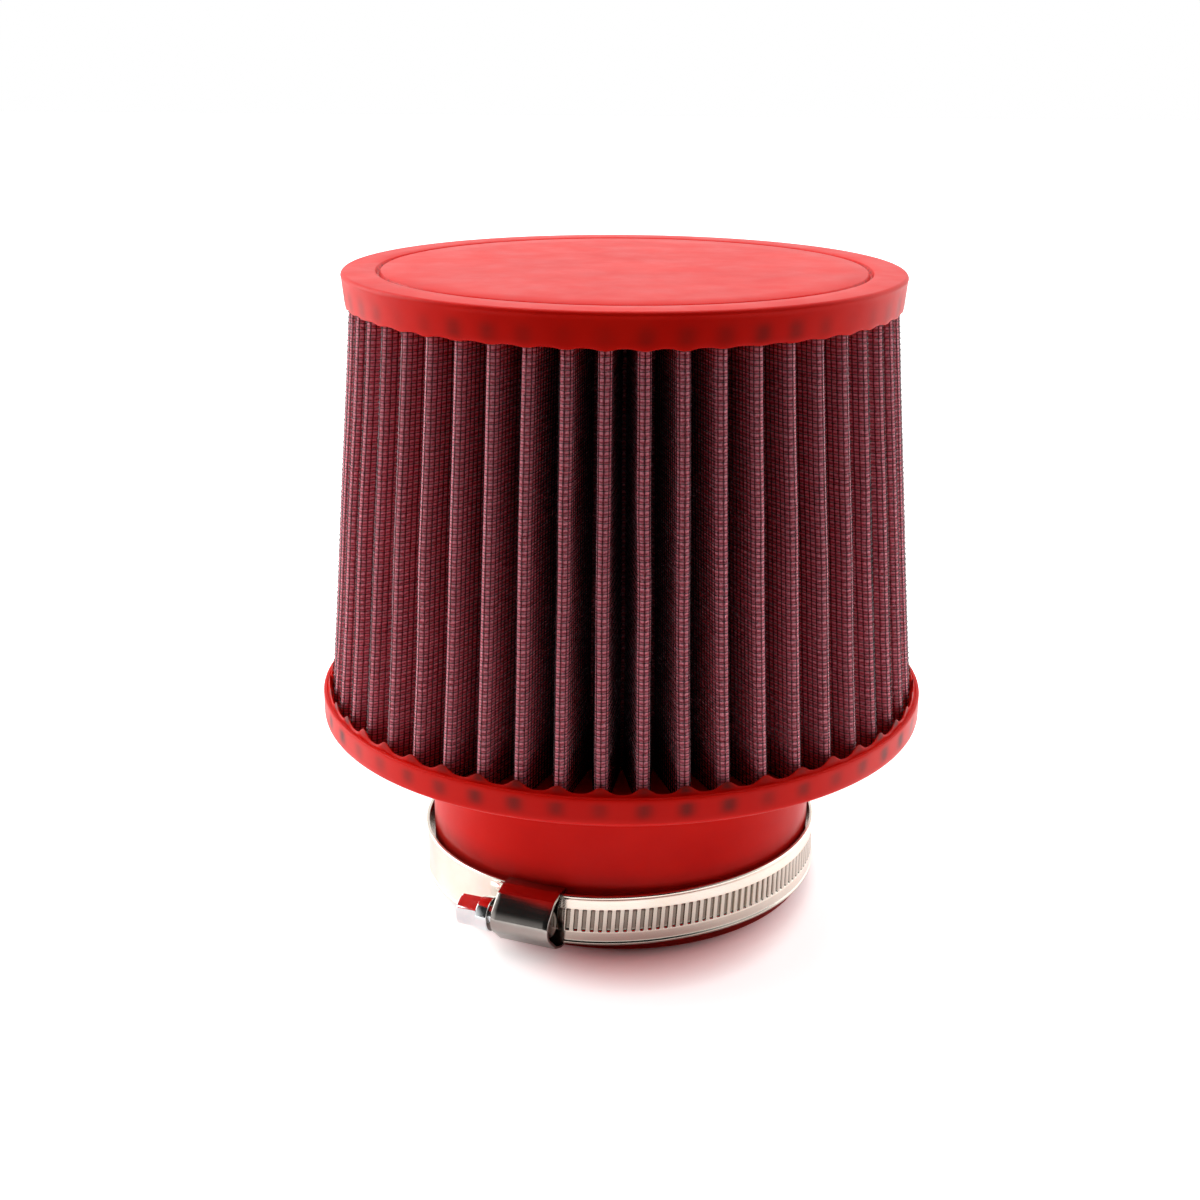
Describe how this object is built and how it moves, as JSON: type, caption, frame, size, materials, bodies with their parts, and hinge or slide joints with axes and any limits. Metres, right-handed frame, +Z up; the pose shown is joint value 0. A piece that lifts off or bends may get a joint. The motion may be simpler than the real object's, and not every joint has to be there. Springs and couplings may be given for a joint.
{
  "type": "cone air filter",
  "caption": "Cone air filter: pleated gauze between wire meshes, a moulded base with a pipe neck, a closed top cap, and a loose worm drive clamp on the neck.",
  "frame": {"origin": "centre of the neck's open end, on the ground that the filter stands on", "axes": "+Z up along the filter's axis, from the neck to the closed top cap; -Y to the front, 23.5 degrees right of the clamp's housing"},
  "size_m": [0.15, 0.15, 0.1545],
  "materials": {
    "red_polyurethane": "glossy moulded, slightly translucent",
    "cotton_gauze": "oiled cotton gauze",
    "coated_wire": "dark coated wire mesh",
    "clamp_steel": "bright stainless strip",
    "screw_zinc": "zinc plated"
  },
  "bodies": {
    "root": {"base_mount": "red_polyurethane", "top_cap": "red_polyurethane", "gauze_media": "cotton_gauze", "outer_wire_mesh": "coated_wire", "inner_wire_mesh": "coated_wire", "clamp_band": "clamp_steel", "clamp_housing": "clamp_steel"},
    "worm": {"clamp_screw": "screw_zinc"}
  },
  "joints": [
    {"name": "clamp_screw_turn", "type": "hinge", "parent": "root", "child": "worm", "pos_m": [-0.02796, -0.04818, 0.00881], "axis": [0.9166, -0.3986, 0.0312], "range_deg": [-2950, 1410]}
  ]
}
